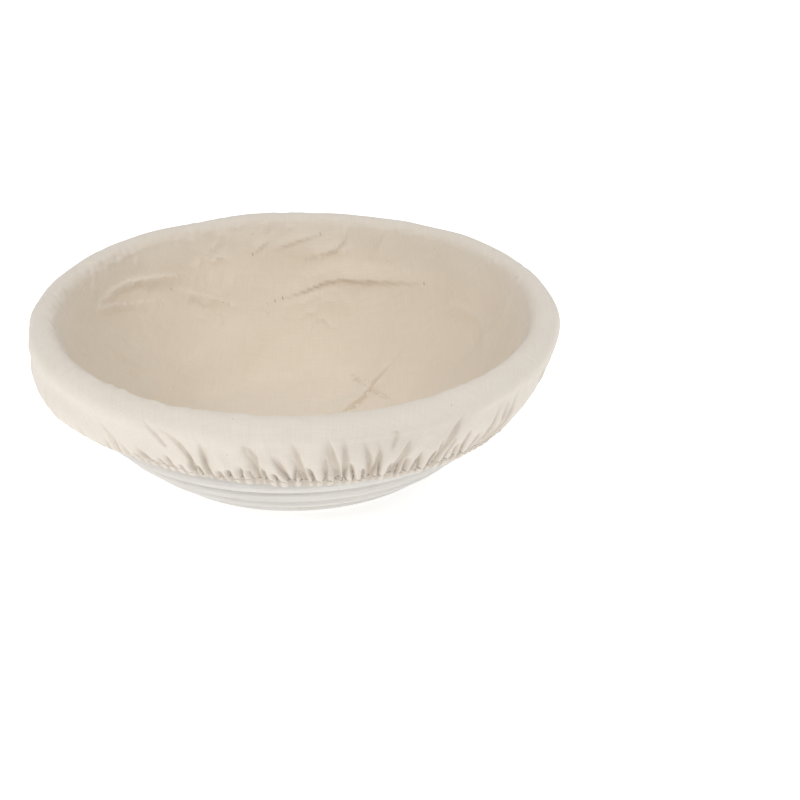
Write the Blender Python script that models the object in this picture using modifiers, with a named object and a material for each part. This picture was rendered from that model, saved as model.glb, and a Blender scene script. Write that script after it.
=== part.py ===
"""Round coiled-cane proving basket with an elasticated cloth liner.

One rattan coil runs from the middle of the flat floor up the wall. It is laid in three lengths of
cane that meet in skived lap joints, and a level rim cane closes it. Steel wire brads pin each turn
to the turn below. A cotton liner drops into the bowl, folds over the rim cane and is held under
it by an elastic cord that runs in a hem casing. The liner lifts off straight up.

Units are metres. Z is up, and the origin is on the ground under the middle of the floor.
"""

import math

import bmesh
import bpy
from mathutils import Matrix, Vector

# Cane and coil
CANE_RADIUS = 0.0061
CANE_SIDES = 8
PITCH = 0.0126
TURN = 2 * math.pi
FINE_STEP = math.pi / 16
COARSE_STEP = math.pi / 8
COARSE_UNTIL = 3.0  # turns
TIGHT_UNTIL = 1.5  # turns wound round the folded end
ROUND_FROM = 5.5  # turns, from where the coil is a plain spiral

# Meridian of the cane centreline: flat floor, tight knuckle, long wall arc up to the rim
FLOOR_RADIUS = 0.052
KNUCKLE_BEND = 0.030
KNUCKLE_ANGLE = math.radians(33)
RIM_RADIUS = 0.122
RIM_HEIGHT = 0.0729

# Cane lengths: turn numbers of the joints, and the steps that a lap joint takes
FLOOR_JOINT = 4.5
WALL_JOINT = 8.25
LAP_STEPS = 3
LAP_TIP_RADIUS = 0.0005
RIM_LAP_TURN = 0.625
NOSE_STEPS = ((0.32, 0.66), (0.16, 0.90))  # shaved end: place in pitches, radius in cane radii

# Brads
BRAD_RADIUS = 0.0006
BRAD_SIDES = 6
BRAD_LENGTH = 0.0190
RIM_BRAD_LENGTH = 0.0235
BRAD_TIP = 0.002
BRAD_RECESS = 0.0005
BRAD_STEP = 0.3  # turns, so that brads in neighbouring turns never meet
FIRST_BRAD_TURN = 2.1
RIM_BRADS = 6
RIM_BRAD_PHASE = 0.6  # of their spacing, on from the rim's lap

# Liner
GAP = 0.0004
BORE_GAP = GAP * 0.75
CLOTH = 0.0012
SKIRT_BULGE = 0.0022
BULGE_EASE = 0.8  # below 1, so that the skirt is fullest nearer the rim
HEM_TURN = 9.75
CASING_RADIUS = 0.0025
CASING_WALL = 0.0009
CASING_MOUTH = math.radians(35)
ELASTIC_RADIUS = 0.0011
THREAD_RADIUS = 0.0004
THREAD_RISE = 6 * THREAD_RADIUS  # stitching above the casing
LINER_STEPS = 32

# Levels and arcs that follow from these
APOTHEM = CANE_RADIUS * math.cos(math.pi / CANE_SIDES)
KNUCKLE_END = FLOOR_RADIUS + KNUCKLE_BEND * KNUCKLE_ANGLE
WALL_FOOT = Vector(
    (
        FLOOR_RADIUS + KNUCKLE_BEND * math.sin(KNUCKLE_ANGLE),
        APOTHEM + KNUCKLE_BEND * (1 - math.cos(KNUCKLE_ANGLE)),
    )
)
WALL_CHORD = Vector((RIM_RADIUS, RIM_HEIGHT)) - WALL_FOOT
WALL_SWEEP = 2 * (math.atan2(WALL_CHORD.y, WALL_CHORD.x) - KNUCKLE_ANGLE)
WALL_BEND = WALL_CHORD.length / (2 * math.sin(WALL_SWEEP / 2))
RIM_ANGLE = KNUCKLE_ANGLE + WALL_SWEEP
RIM_ARC = KNUCKLE_END + WALL_BEND * WALL_SWEEP
HEM_ARC = HEM_TURN * PITCH


def clear_scene():
    for obj in list(bpy.data.objects):
        bpy.data.objects.remove(obj, do_unlink=True)


def new_collection(name, hidden=False):
    collection = bpy.data.collections.new(name)
    collection.hide_render = hidden
    bpy.context.scene.collection.children.link(collection)
    return collection


def add_material(name, colour, roughness, metallic=0.0):
    material = bpy.data.materials.new(name)
    material.use_nodes = True
    shader = material.node_tree.nodes["Principled BSDF"]
    shader.inputs["Base Color"].default_value = (*colour, 1.0)
    shader.inputs["Roughness"].default_value = roughness
    shader.inputs["Metallic"].default_value = metallic
    return material


def add_object(name, mesh, collection, parent=None, material=None):
    obj = bpy.data.objects.new(name, mesh)
    collection.objects.link(obj)
    obj.parent = parent
    if material:
        obj.data.materials.append(material)
    return obj


def meridian(arc):
    """Radius, height and slope angle of the cane centreline at an arc length from the axis."""
    if arc <= FLOOR_RADIUS:
        return arc, APOTHEM, 0.0
    if arc <= KNUCKLE_END:
        angle = (arc - FLOOR_RADIUS) / KNUCKLE_BEND
        radius = FLOOR_RADIUS + KNUCKLE_BEND * math.sin(angle)
        return radius, APOTHEM + KNUCKLE_BEND * (1 - math.cos(angle)), angle
    angle = KNUCKLE_ANGLE + (arc - KNUCKLE_END) / WALL_BEND
    radius = WALL_FOOT.x + WALL_BEND * (math.sin(angle) - math.sin(KNUCKLE_ANGLE))
    height = WALL_FOOT.y + WALL_BEND * (math.cos(KNUCKLE_ANGLE) - math.cos(angle))
    return radius, height, angle


def shell_point(arc, direction, offset=0.0):
    """A point on the wall's meridian, moved out of the bowl by offset along the normal."""
    radius, height, angle = meridian(arc)
    radius += offset * math.sin(angle)
    height -= offset * math.cos(angle)
    return Vector((radius * math.cos(direction), radius * math.sin(direction), height))


def coil_place(theta):
    """Arc length from the axis, and compass direction, of the coil after turning by theta.

    The first turns are half circles about two centres, as a cane folded back on its own end
    lies. Further out the coil eases into a plain spiral of the same pitch.
    """
    turns = theta / TURN
    spiral = PITCH * turns
    if turns >= ROUND_FROM:
        return spiral, theta
    half_turn = round(theta / math.pi)
    centre = PITCH / 4 if half_turn % 2 == 0 else -PITCH / 4
    tight = Vector((math.cos(theta), math.sin(theta))) * (half_turn * PITCH / 2)
    tight.y += centre
    plain = Vector((math.cos(theta), math.sin(theta))) * spiral
    share = min(1.0, (ROUND_FROM - turns) / (ROUND_FROM - TIGHT_UNTIL))
    place = plain.lerp(tight, share)
    return place.length, math.atan2(place.y, place.x)


def coil_angles(first_turn, last_turn):
    """Sampling angles of the coil, coarse in the small inner turns."""
    theta = first_turn * TURN
    angles = []
    while theta < last_turn * TURN + 1e-6:
        angles.append(theta)
        theta += COARSE_STEP if theta < COARSE_UNTIL * TURN - 1e-6 else FINE_STEP
    return angles


def lap_radius(share):
    """Cane radius along a lap joint, where share runs from 0 at its thick end to 1 at its tip."""
    thick = CANE_RADIUS - LAP_TIP_RADIUS - GAP
    return thick + (LAP_TIP_RADIUS - thick) * share


def lapped_samples(places, head_lap, tail_lap):
    """Centre points and radii of a cane, whose first and last steps are skived for a lap joint.

    The tail of each cane lies on the bowl's inner side of the joint, the next head outside it.
    """
    samples = []
    last = len(places) - 1
    for index, (arc, direction) in enumerate(places):
        radius = CANE_RADIUS
        offset = 0.0
        if head_lap and index <= LAP_STEPS:
            radius = lap_radius(1 - index / LAP_STEPS)
            offset = (CANE_RADIUS - radius) * APOTHEM / CANE_RADIUS
        if tail_lap and last - index <= LAP_STEPS:
            radius = lap_radius(1 - (last - index) / LAP_STEPS)
            offset = (radius - CANE_RADIUS) * APOTHEM / CANE_RADIUS
        samples.append((shell_point(arc, direction, offset), radius))
    return samples


def tube_mesh(name, samples):
    """Closed tube mesh through centre points, each with its own radius."""
    curve = bpy.data.curves.new(name, "CURVE")
    curve.dimensions = "3D"
    curve.twist_mode = "Z_UP"
    curve.bevel_depth = CANE_RADIUS
    curve.bevel_resolution = (CANE_SIDES - 4) // 2
    curve.use_fill_caps = True
    spline = curve.splines.new("POLY")
    spline.points.add(len(samples) - 1)
    for point, (place, radius) in zip(spline.points, samples):
        point.co = (*place, 1.0)
        point.radius = radius / CANE_RADIUS
        point.tilt = math.pi / CANE_SIDES
    guide = bpy.data.objects.new(name + "_guide", curve)
    bpy.context.scene.collection.objects.link(guide)
    graph = bpy.context.evaluated_depsgraph_get()
    mesh = bpy.data.meshes.new_from_object(guide.evaluated_get(graph))
    bpy.data.objects.remove(guide, do_unlink=True)
    shape = bmesh.new()
    shape.from_mesh(mesh)
    bmesh.ops.remove_doubles(shape, verts=shape.verts, dist=1e-6)
    bmesh.ops.recalc_face_normals(shape, faces=shape.faces)
    shape.to_mesh(mesh)
    shape.free()
    mesh.name = name
    mesh.shade_smooth()
    mesh.set_sharp_from_angle(angle=math.radians(50))
    return mesh


def add_cane(name, samples, collection, parent, material, clearance):
    cane = add_object(name, tube_mesh(name, samples), collection, parent, material)
    bores = cane.modifiers.new("brad_bores", "BOOLEAN")
    bores.operation = "DIFFERENCE"
    bores.solver = "EXACT"
    bores.object = clearance
    return cane


def floor_samples():
    """The floor cane, from its shaved end in the middle to the first lap joint."""
    places = [coil_place(theta) for theta in coil_angles(0.25, FLOOR_JOINT)]
    samples = lapped_samples(places, False, True)
    start = samples[0][0]
    nose = [
        (start + Vector((along * PITCH, 0, 0)), share * CANE_RADIUS) for along, share in NOSE_STEPS
    ]
    return nose + samples


def lower_wall_samples():
    first = FLOOR_JOINT - LAP_STEPS * FINE_STEP / TURN
    places = [coil_place(theta) for theta in coil_angles(first, WALL_JOINT)]
    return lapped_samples(places, True, True)


def upper_wall_samples():
    """The last wall cane, whose long skived end fills the wedge under the level rim cane."""
    first = WALL_JOINT - LAP_STEPS * FINE_STEP / TURN
    full_until = RIM_ARC / PITCH - 1
    angles = coil_angles(first, full_until)
    samples = lapped_samples([coil_place(theta) for theta in angles], True, False)
    theta = angles[-1] + FINE_STEP
    below = coil_place(theta - TURN)[0]
    while (RIM_ARC - below) / 2 - CANE_RADIUS - GAP > LAP_TIP_RADIUS:
        radius = (RIM_ARC - below) / 2 - CANE_RADIUS - GAP
        samples.append((shell_point((RIM_ARC + below) / 2, theta), radius))
        theta += FINE_STEP
        below = coil_place(theta - TURN)[0]
    return samples


def rim_samples():
    """The level rim cane: one full turn, with its two ends lapped."""
    first = RIM_LAP_TURN * TURN
    count = round(TURN / FINE_STEP) + LAP_STEPS
    places = [(RIM_ARC, first + FINE_STEP * index) for index in range(count + 1)]
    return lapped_samples(places, True, True)


def brad_lines():
    """Head point, axis towards the tip and length of each brad, from the middle outwards."""
    lines = []
    turns = FIRST_BRAD_TURN
    while turns < RIM_ARC / PITCH - 1:
        theta = turns * TURN
        upper = shell_point(*coil_place(theta))
        lower = shell_point(*coil_place(theta - TURN))
        axis = (lower - upper).normalized()
        lines.append((upper - axis * (CANE_RADIUS - BRAD_RECESS), axis, BRAD_LENGTH))
        turns += BRAD_STEP
    for index in range(RIM_BRADS):
        direction = RIM_LAP_TURN * TURN + TURN * (index + RIM_BRAD_PHASE) / RIM_BRADS
        upper = shell_point(RIM_ARC, direction)
        axis = (shell_point(RIM_ARC - PITCH, direction) - upper).normalized()
        lines.append((upper - axis * (CANE_RADIUS - BRAD_RECESS), axis, RIM_BRAD_LENGTH))
    return lines


def axis_matrix(point, axis):
    """Placement that stands +Z along axis at point."""
    return Matrix.Translation(point) @ axis.to_track_quat("Z", "Y").to_matrix().to_4x4()


def clearance_cutter(lines, collection):
    """All brad bores as one cutter: each just wider than its brad, open above the head."""
    shape = bmesh.new()
    wide = BRAD_RADIUS + BORE_GAP
    for head, axis, length in lines:
        top = BRAD_RECESS + GAP / 2
        depth = length + top + GAP
        middle = head + axis * (depth / 2 - top)
        bmesh.ops.create_cone(
            shape,
            cap_ends=True,
            segments=BRAD_SIDES,
            radius1=wide,
            radius2=wide,
            depth=depth,
            matrix=axis_matrix(middle, axis),
        )
    bmesh.ops.recalc_face_normals(shape, faces=shape.faces)
    mesh = bpy.data.meshes.new("brad_clearance")
    shape.to_mesh(mesh)
    shape.free()
    cutter = add_object("brad_clearance", mesh, collection)
    cutter.hide_render = True
    cutter.display_type = "WIRE"
    return cutter


def profile_mesh(name, outline, closed):
    """An outline of (radius, height) points in the XZ plane, for a Screw modifier."""
    mesh = bpy.data.meshes.new(name)
    edges = [(index, index + 1) for index in range(len(outline) - 1)]
    if closed:
        edges.append((len(outline) - 1, 0))
    mesh.from_pydata([(radius, 0.0, height) for radius, height in outline], edges, [])
    return mesh


def add_turned(name, outline, closed, steps, collection, parent, material):
    obj = add_object(name, profile_mesh(name, outline, closed), collection, parent, material)
    screw = obj.modifiers.new("turn", "SCREW")
    screw.axis = "Z"
    screw.angle = TURN
    screw.steps = steps
    screw.render_steps = steps
    screw.use_merge_vertices = True
    screw.merge_threshold = 0.00001
    screw.use_smooth_shade = True
    return obj


def add_brads(lines, collection, parent, material):
    for number, (head, axis, length) in enumerate(lines, 1):
        outline = [(0, 0), (BRAD_RADIUS, 0), (BRAD_RADIUS, BRAD_TIP - length), (0, -length)]
        name = f"wire_brad_{number:02d}"
        brad = add_turned(name, outline, False, BRAD_SIDES, collection, parent, material)
        brad.matrix_local = axis_matrix(head, -axis)


def flat_point(arc, offset):
    """Radius and height on the meridian at an arc length, moved out of the bowl by offset."""
    point = shell_point(arc, 0.0, offset)
    return point.x, point.z


def rim_point(angle, distance):
    """Radius and height about the rim cane's centre, at an angle above the horizontal."""
    radius = RIM_RADIUS + distance * math.cos(angle)
    return radius, RIM_HEIGHT + distance * math.sin(angle)


def spread(first, last, count):
    return [first + (last - first) * index / (count - 1) for index in range(count)]


def bowl_face(distance):
    """One face of the lining from the middle up the wall, over the rim and to its outer side."""
    arcs = [0.0] + spread(FLOOR_RADIUS, KNUCKLE_END, 4) + spread(KNUCKLE_END, RIM_ARC, 6)[1:]
    face = [flat_point(arc, -distance) for arc in arcs]
    angles = spread(RIM_ANGLE + math.pi / 2, 0.0, 8)[1:]
    return face + [rim_point(angle, distance) for angle in angles]


def bowl_outline():
    inner = bowl_face(CANE_RADIUS + GAP + CLOTH)
    outer = bowl_face(CANE_RADIUS + GAP)
    return inner + outer[::-1]


def skirt_face(distance):
    """One face of the skirt, from just under the lining's edge down to the casing."""
    start = -GAP / CANE_RADIUS
    face = [rim_point(angle, distance) for angle in spread(start, RIM_ANGLE - math.pi / 2, 3)]
    lowest = HEM_ARC + CASING_RADIUS + GAP
    for arc in spread(RIM_ARC, lowest, 6)[1:]:
        share = (RIM_ARC - arc) / (RIM_ARC - lowest)
        bulge = SKIRT_BULGE * math.sin(math.pi * share ** BULGE_EASE)
        face.append(flat_point(arc, distance + bulge))
    return face


def skirt_outline():
    outer = skirt_face(CANE_RADIUS + GAP + CLOTH)
    inner = skirt_face(CANE_RADIUS + GAP)
    return outer + inner[::-1]


def ring_points(centre, radius, angles):
    return [
        (centre[0] + radius * math.cos(angle), centre[1] + radius * math.sin(angle))
        for angle in angles
    ]


def hem_centre():
    return flat_point(HEM_ARC, CANE_RADIUS + GAP + CASING_RADIUS)


def casing_outline():
    """Section of the folded hem: a ring that is open on the side that faces the canes."""
    slope = meridian(HEM_ARC)[2]
    mouth = math.pi / 2 + slope
    first = mouth - CASING_MOUTH
    last = mouth + CASING_MOUTH - TURN
    angles = spread(first, last, 7)
    outer = ring_points(hem_centre(), CASING_RADIUS, angles)
    inner = ring_points(hem_centre(), CASING_RADIUS - CASING_WALL, angles)
    return outer + inner[::-1]


def cord_outline(centre, radius, sides):
    return ring_points(centre, radius, [-TURN * index / sides for index in range(sides)])


def thread_centre():
    """The row of hem stitching lies on the skirt just above the casing."""
    arc = HEM_ARC + CASING_RADIUS + THREAD_RISE
    cover = CANE_RADIUS + GAP + CLOTH + SKIRT_BULGE * 0.5
    return flat_point(arc, cover + THREAD_RADIUS + GAP)


def build_basket(collection, cutters):
    root = add_object("basket", None, collection)
    rattan = add_material("rattan", (0.83, 0.79, 0.71), 0.55)
    steel = add_material("brad_steel", (0.32, 0.25, 0.18), 0.45, 0.8)
    lines = brad_lines()
    clearance = clearance_cutter(lines, cutters)
    canes = {
        "floor_cane": floor_samples(),
        "lower_wall_cane": lower_wall_samples(),
        "upper_wall_cane": upper_wall_samples(),
        "rim_cane": rim_samples(),
    }
    for name, samples in canes.items():
        add_cane(name, samples, collection, root, rattan, clearance)
    add_brads(lines, collection, root, steel)


def build_liner(collection):
    root = add_object("liner", None, collection)
    cotton = add_material("cotton", (0.78, 0.70, 0.58), 0.9)
    rubber = add_material("elastic", (0.85, 0.84, 0.80), 0.7)
    thread = add_material("thread", (0.80, 0.74, 0.64), 0.8)
    pieces = (
        ("liner_bowl", bowl_outline(), False, cotton),
        ("liner_skirt", skirt_outline(), True, cotton),
        ("hem_casing", casing_outline(), True, cotton),
        ("hem_elastic", cord_outline(hem_centre(), ELASTIC_RADIUS, 6), True, rubber),
        ("hem_thread", cord_outline(thread_centre(), THREAD_RADIUS, 4), True, thread),
    )
    for name, outline, closed, material in pieces:
        add_turned(name, outline, closed, LINER_STEPS, collection, root, material)


def main():
    clear_scene()
    parts = new_collection("banneton_basket")
    cutters = new_collection("cutters", hidden=True)
    build_basket(parts, cutters)
    build_liner(parts)


main()
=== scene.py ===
"""Looks for the banneton basket: detailed canes, a gathered cotton liner, materials, light and camera.

Metres, Z up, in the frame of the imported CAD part. Lengths on the cloth (s) are measured along its
cross-section from the middle of the floor. Directions (phi) are angles from +X towards +Y.
"""

import math

import bpy
import numpy as np
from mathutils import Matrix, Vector


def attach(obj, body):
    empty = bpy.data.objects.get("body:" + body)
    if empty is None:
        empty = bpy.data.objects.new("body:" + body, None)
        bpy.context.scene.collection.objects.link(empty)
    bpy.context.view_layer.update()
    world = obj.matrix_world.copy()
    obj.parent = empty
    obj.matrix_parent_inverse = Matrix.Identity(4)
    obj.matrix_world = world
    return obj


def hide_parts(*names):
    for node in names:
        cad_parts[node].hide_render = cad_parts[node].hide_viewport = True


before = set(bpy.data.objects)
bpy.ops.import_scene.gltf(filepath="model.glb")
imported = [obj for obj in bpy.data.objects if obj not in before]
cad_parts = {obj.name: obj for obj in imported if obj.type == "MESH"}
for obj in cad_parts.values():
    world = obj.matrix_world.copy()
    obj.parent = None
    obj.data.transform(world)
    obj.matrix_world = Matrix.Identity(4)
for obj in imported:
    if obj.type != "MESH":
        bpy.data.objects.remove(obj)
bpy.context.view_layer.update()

TURN = 2 * math.pi

# -------------------- dimensions shared with the CAD
CANE_RADIUS = 0.0061
PITCH = 0.0126
TIGHT_UNTIL = 1.5
ROUND_FROM = 5.5
FLOOR_RADIUS = 0.052
KNUCKLE_BEND = 0.030
KNUCKLE_ANGLE = math.radians(33)
RIM_RADIUS = 0.122
RIM_HEIGHT = 0.0729
FLOOR_JOINT = 4.5
WALL_JOINT = 8.25
LAP = 3 * math.pi / 16
RIM_LAP_TURN = 0.625
GAP = 0.0004
CLOTH = 0.0012
SKIRT_BULGE = 0.0015              # how far the shown skirt bulges half way down
SKIRT_STANDS = 0.0011             # how much further out it stands at the hem
HEM_ARC = 9.75 * PITCH            # arc length of the hem's middle on the wall
SECTION_END = HEM_ARC - 0.004     # the cloth's section is known a little past the hem
HEM_RADIUS = 0.115                # mean radius of the hem, for lengths round it
SKIRT_RADIUS = 0.120              # the same for the skirt
CENTRE_HEIGHT = CANE_RADIUS * math.cos(math.pi / 8)

KNUCKLE_END = FLOOR_RADIUS + KNUCKLE_BEND * KNUCKLE_ANGLE
FOOT_R = FLOOR_RADIUS + KNUCKLE_BEND * math.sin(KNUCKLE_ANGLE)
FOOT_Z = CENTRE_HEIGHT + KNUCKLE_BEND * (1 - math.cos(KNUCKLE_ANGLE))
WALL_SWEEP = 2 * (math.atan2(RIM_HEIGHT - FOOT_Z, RIM_RADIUS - FOOT_R) - KNUCKLE_ANGLE)
WALL_BEND = math.hypot(RIM_RADIUS - FOOT_R, RIM_HEIGHT - FOOT_Z) / (2 * math.sin(WALL_SWEEP / 2))
RIM_ANGLE = KNUCKLE_ANGLE + WALL_SWEEP
RIM_ARC = KNUCKLE_END + WALL_BEND * WALL_SWEEP

FACE = CANE_RADIUS + GAP + CLOTH  # the cloth's shown face, from the cane centreline
THICK = 0.0008                    # shown thickness of the cloth
CASING_OUT = 0.0081               # casing's middle, from the cane centreline
CASING_HIGH = 0.0025              # half its height along the wall
CASING_WIDE = 0.00145             # half its thickness
CASING_DIP = -0.0014              # how deep the tucks run over the casing
CASING_CLOTH = 0.0006             # thickness of its cloth
HEM_TILT = 0.0085                 # the hem has ridden up on one side and down on the other
HEM_MEAN = -0.0002                # mean of its shift towards the rim
HEM_LOWEST = -0.0040              # the shift where it has gone down furthest
HEM_EASE = 0.0010                 # how gently it comes to that
RIDDEN_SIDE = math.radians(-160)  # where the hem has ridden up and the skirt is loosest
LOOSE_SPREAD = math.radians(42)   # how far round that reaches
LOOSE_PUFF = 0.0040               # how far the loose part of the skirt puffs out
STITCH = 0.0026                   # pitch of the hem stitches
STITCH_RADIUS = 0.117             # radius of the row of stitches
THREAD_RADIUS = 0.00021
COLUMNS = 960                     # points round the lining; the skirt and hem have twice as many


# -------------------- small helpers
def meridian(arc):
    """Radius, height and slope of the cane centreline at an arc length from the axis."""
    arc = np.asarray(arc, float)
    knuckle = np.clip((arc - FLOOR_RADIUS) / KNUCKLE_BEND, 0, KNUCKLE_ANGLE)
    wall = np.clip((arc - KNUCKLE_END) / WALL_BEND, 0, None)
    angle = knuckle + wall
    radius = np.minimum(arc, FLOOR_RADIUS) + KNUCKLE_BEND * np.sin(knuckle)
    radius = radius + WALL_BEND * (np.sin(angle) - np.sin(knuckle))
    height = CENTRE_HEIGHT + KNUCKLE_BEND * (1 - np.cos(knuckle))
    height = height + WALL_BEND * (np.cos(knuckle) - np.cos(angle))
    return radius, height, angle


def shell(arc, phi, outward=0.0):
    """Point at an arc length and direction, so far outside the cane centreline's surface."""
    radius, height, angle = meridian(arc)
    radius = radius + outward * np.sin(angle)
    height = height - outward * np.cos(angle)
    return np.stack([radius * np.cos(phi), radius * np.sin(phi), height], -1)


def coil_place(theta):
    """Arc length from the axis, and direction, of the coil after turning by theta."""
    theta = np.asarray(theta, float)
    turns = theta / TURN
    half = np.round(theta / math.pi)
    centre = np.where(half % 2 == 0, PITCH / 4, -PITCH / 4)
    tight = np.stack([np.cos(theta) * half * PITCH / 2, np.sin(theta) * half * PITCH / 2 + centre], -1)
    plain = np.stack([np.cos(theta), np.sin(theta)], -1) * (PITCH * turns)[..., None]
    share = np.clip((ROUND_FROM - turns) / (ROUND_FROM - TIGHT_UNTIL), 0, 1)[..., None]
    place = plain + (tight - plain) * share
    return np.hypot(place[..., 0], place[..., 1]), np.arctan2(place[..., 1], place[..., 0])


def smooth(x):
    x = np.clip(x, 0, 1)
    return x * x * (3 - 2 * x)


def wrap(angle):
    return (angle + math.pi) % TURN - math.pi


class Waves:
    """A smooth random field in space: plane waves of about one wavelength, unit variance."""

    def __init__(self, seed, wavelength, count=48, spread=0.35):
        rng = np.random.RandomState(seed)
        way = rng.normal(size=(count, 3))
        way /= np.linalg.norm(way, axis=1)[:, None]
        size = TURN / (wavelength * np.exp(rng.normal(size=count) * spread))
        self.waves = way * size[:, None]
        self.phase = rng.uniform(0, TURN, count)

    def __call__(self, points):
        flat = points.reshape(-1, 3)
        total = np.zeros(len(flat))
        for wave, phase in zip(self.waves, self.phase):
            total += np.cos(flat @ wave + phase)
        return (total * math.sqrt(2 / len(self.waves))).reshape(points.shape[:-1])


def tube_faces(rings, sides, closed=False):
    """Vertex numbers (a, b, c, d) of the quads between rings that have the same number of points."""
    i, j = np.meshgrid(np.arange(rings if closed else rings - 1), np.arange(sides), indexing="ij")
    here, there, after = i * sides, (i + 1) % rings * sides, (j + 1) % sides
    return np.stack([here + j, here + after, there + after, there + j], -1).reshape(-1, 4)


def new_mesh(name, points, faces):
    mesh = bpy.data.meshes.new(name)
    mesh.from_pydata(np.asarray(points).tolist(), [], faces)
    mesh.validate()
    mesh.shade_smooth()
    return mesh


def linked(name, data):
    obj = bpy.data.objects.new(name, data)
    bpy.context.scene.collection.objects.link(obj)
    return obj


def new_object(name, mesh, body, slot, *replaced):
    obj = linked(name, mesh)
    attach(obj, body)
    if replaced:
        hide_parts(*replaced)
    return obj


def add_vectors(mesh, name, values):
    layer = mesh.attributes.new(name, "FLOAT_VECTOR", "POINT")
    layer.data.foreach_set("vector", np.asarray(values, np.float32).ravel())


def add_floats(mesh, name, values):
    layer = mesh.attributes.new(name, "FLOAT", "POINT")
    layer.data.foreach_set("value", np.asarray(values, np.float32).ravel())


# -------------------- materials
THREAD_PERIOD = 0.00068           # two threads of the cloth


class Nodes:
    """Builds a node tree with short calls."""

    def __init__(self, name):
        self.material = bpy.data.materials.new(name)
        self.material.use_nodes = True
        self.tree = self.material.node_tree
        self.shader = self.tree.nodes["Principled BSDF"]

    def add(self, kind, *links, **settings):
        node = self.tree.nodes.new("ShaderNode" + kind)
        values = settings.pop("values", {})
        for key, value in settings.items():
            setattr(node, key, value)
        for key, value in values.items():
            self.feed(node.inputs[key], value)
        for index, value in enumerate(links):
            if value is not None:
                self.feed(node.inputs[index], value)
        return node

    def feed(self, socket, value):
        if isinstance(value, bpy.types.NodeSocket):
            self.tree.links.new(value, socket)
        else:
            socket.default_value = value

    def attribute(self, name, output):
        return self.add("Attribute", attribute_name=name).outputs[output]

    def math(self, operation, *values, clamp=False):
        return self.add("Math", *values, operation=operation, use_clamp=clamp).outputs[0]

    def scale(self, vector, factors):
        node = self.add("VectorMath", vector, operation="MULTIPLY")
        node.inputs[1].default_value = factors
        return node.outputs[0]

    def noise(self, vector, scale, detail=2.0, roughness=0.5, distortion=0.0):
        values = {"Scale": scale, "Detail": detail, "Roughness": roughness, "Distortion": distortion}
        return self.add("TexNoise", vector, values=values).outputs[0]

    def remap(self, value, low, high, to_low=0.0, to_high=1.0):
        return self.add("MapRange", value, low, high, to_low, to_high).outputs[0]

    def mix(self, share, first, second, blend="MIX"):
        node = self.add("Mix", data_type="RGBA", blend_type=blend)
        self.feed(node.inputs[0], share)
        self.feed(node.inputs[6], first)
        self.feed(node.inputs[7], second)
        return node.outputs[2]

    def bump(self, height, distance, strength=1.0, normal=None):
        node = self.add("Bump", values={"Strength": strength, "Distance": distance, "Height": height})
        if normal is not None:
            self.feed(node.inputs["Normal"], normal)
        return node.outputs[0]

    def set(self, **values):
        for key, value in values.items():
            self.feed(self.shader.inputs[key.replace("_", " ")], value)


def rgb(red, green, blue):
    return (red, green, blue, 1.0)


def cotton_material():
    """Unbleached plain-weave cotton: two crossed thread sets, slubs, flecks and a soft nap.

    The inside is painted warmer and darker, as painted shade and bounce light, and the tucks are painted
    darker, as painted shade.
    """
    n = Nodes("unbleached_cotton")
    weave = n.attribute("weave", "Vector")
    split = n.add("SeparateXYZ", weave)
    thread = TURN / THREAD_PERIOD
    wave_x = n.math("SINE", n.math("MULTIPLY", split.outputs[0], thread))
    wave_y = n.math("SINE", n.math("MULTIPLY", split.outputs[1], thread))
    checker = n.math("MULTIPLY", wave_x, wave_y)
    slub_x = n.noise(n.scale(weave, (60.0, 1500.0, 1.0)), 1.0, 2.0)
    slub_y = n.noise(n.scale(weave, (1500.0, 60.0, 1.0)), 1.0, 2.0)
    slubs = n.math("MULTIPLY", n.math("ADD", slub_x, slub_y), 0.5)
    cloudy = n.noise(weave, 22.0, 3.0, 0.6)
    tone = n.remap(slubs, 0.38, 0.62)
    tone = n.math("ADD", n.math("MULTIPLY", tone, 0.45), n.math("MULTIPLY", cloudy, 0.55))
    outside = n.mix(tone, rgb(0.665, 0.602, 0.525), rgb(0.750, 0.692, 0.615))
    # painted shade and bounce light: the inside of the bowl is painted warmer and darker than the outside
    shaded_inside = n.mix(tone, rgb(0.655, 0.565, 0.455), rgb(0.73, 0.642, 0.53))
    reach = n.add("VectorMath", weave, operation="LENGTH").outputs["Value"]
    colour = n.mix(n.remap(reach, 0.128, 0.156), shaded_inside, outside)
    tuck_shade = n.math("MULTIPLY", n.attribute("tuck_shade", "Fac"), 0.62)
    # painted shade: the tucks of the gathers and of the hem are painted darker
    colour = n.mix(tuck_shade, colour, rgb(0.47, 0.40, 0.32))
    flecks = n.add("TexVoronoi", weave, values={"Scale": 150.0, "Randomness": 1.0})
    near = n.remap(flecks.outputs["Distance"], 0.035, 0.055, 1.0, 0.0)
    pick = n.add("SeparateColor", flecks.outputs["Color"])
    rare = n.math("GREATER_THAN", pick.outputs[0], 0.86)
    speck = n.math("MULTIPLY", n.math("MULTIPLY", near, rare), 0.65)
    colour = n.mix(speck, colour, rgb(0.26, 0.18, 0.11))
    height = n.math("ADD", n.math("MULTIPLY", checker, 0.22), slubs)
    n.set(Base_Color=colour, Roughness=n.remap(slubs, 0.3, 0.7, 0.86, 0.96))
    n.set(Normal=n.bump(height, 0.00022, 0.4))
    n.set(Sheen_Weight=0.25, Sheen_Roughness=0.55, Specular_IOR_Level=0.2)
    return n.material


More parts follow.
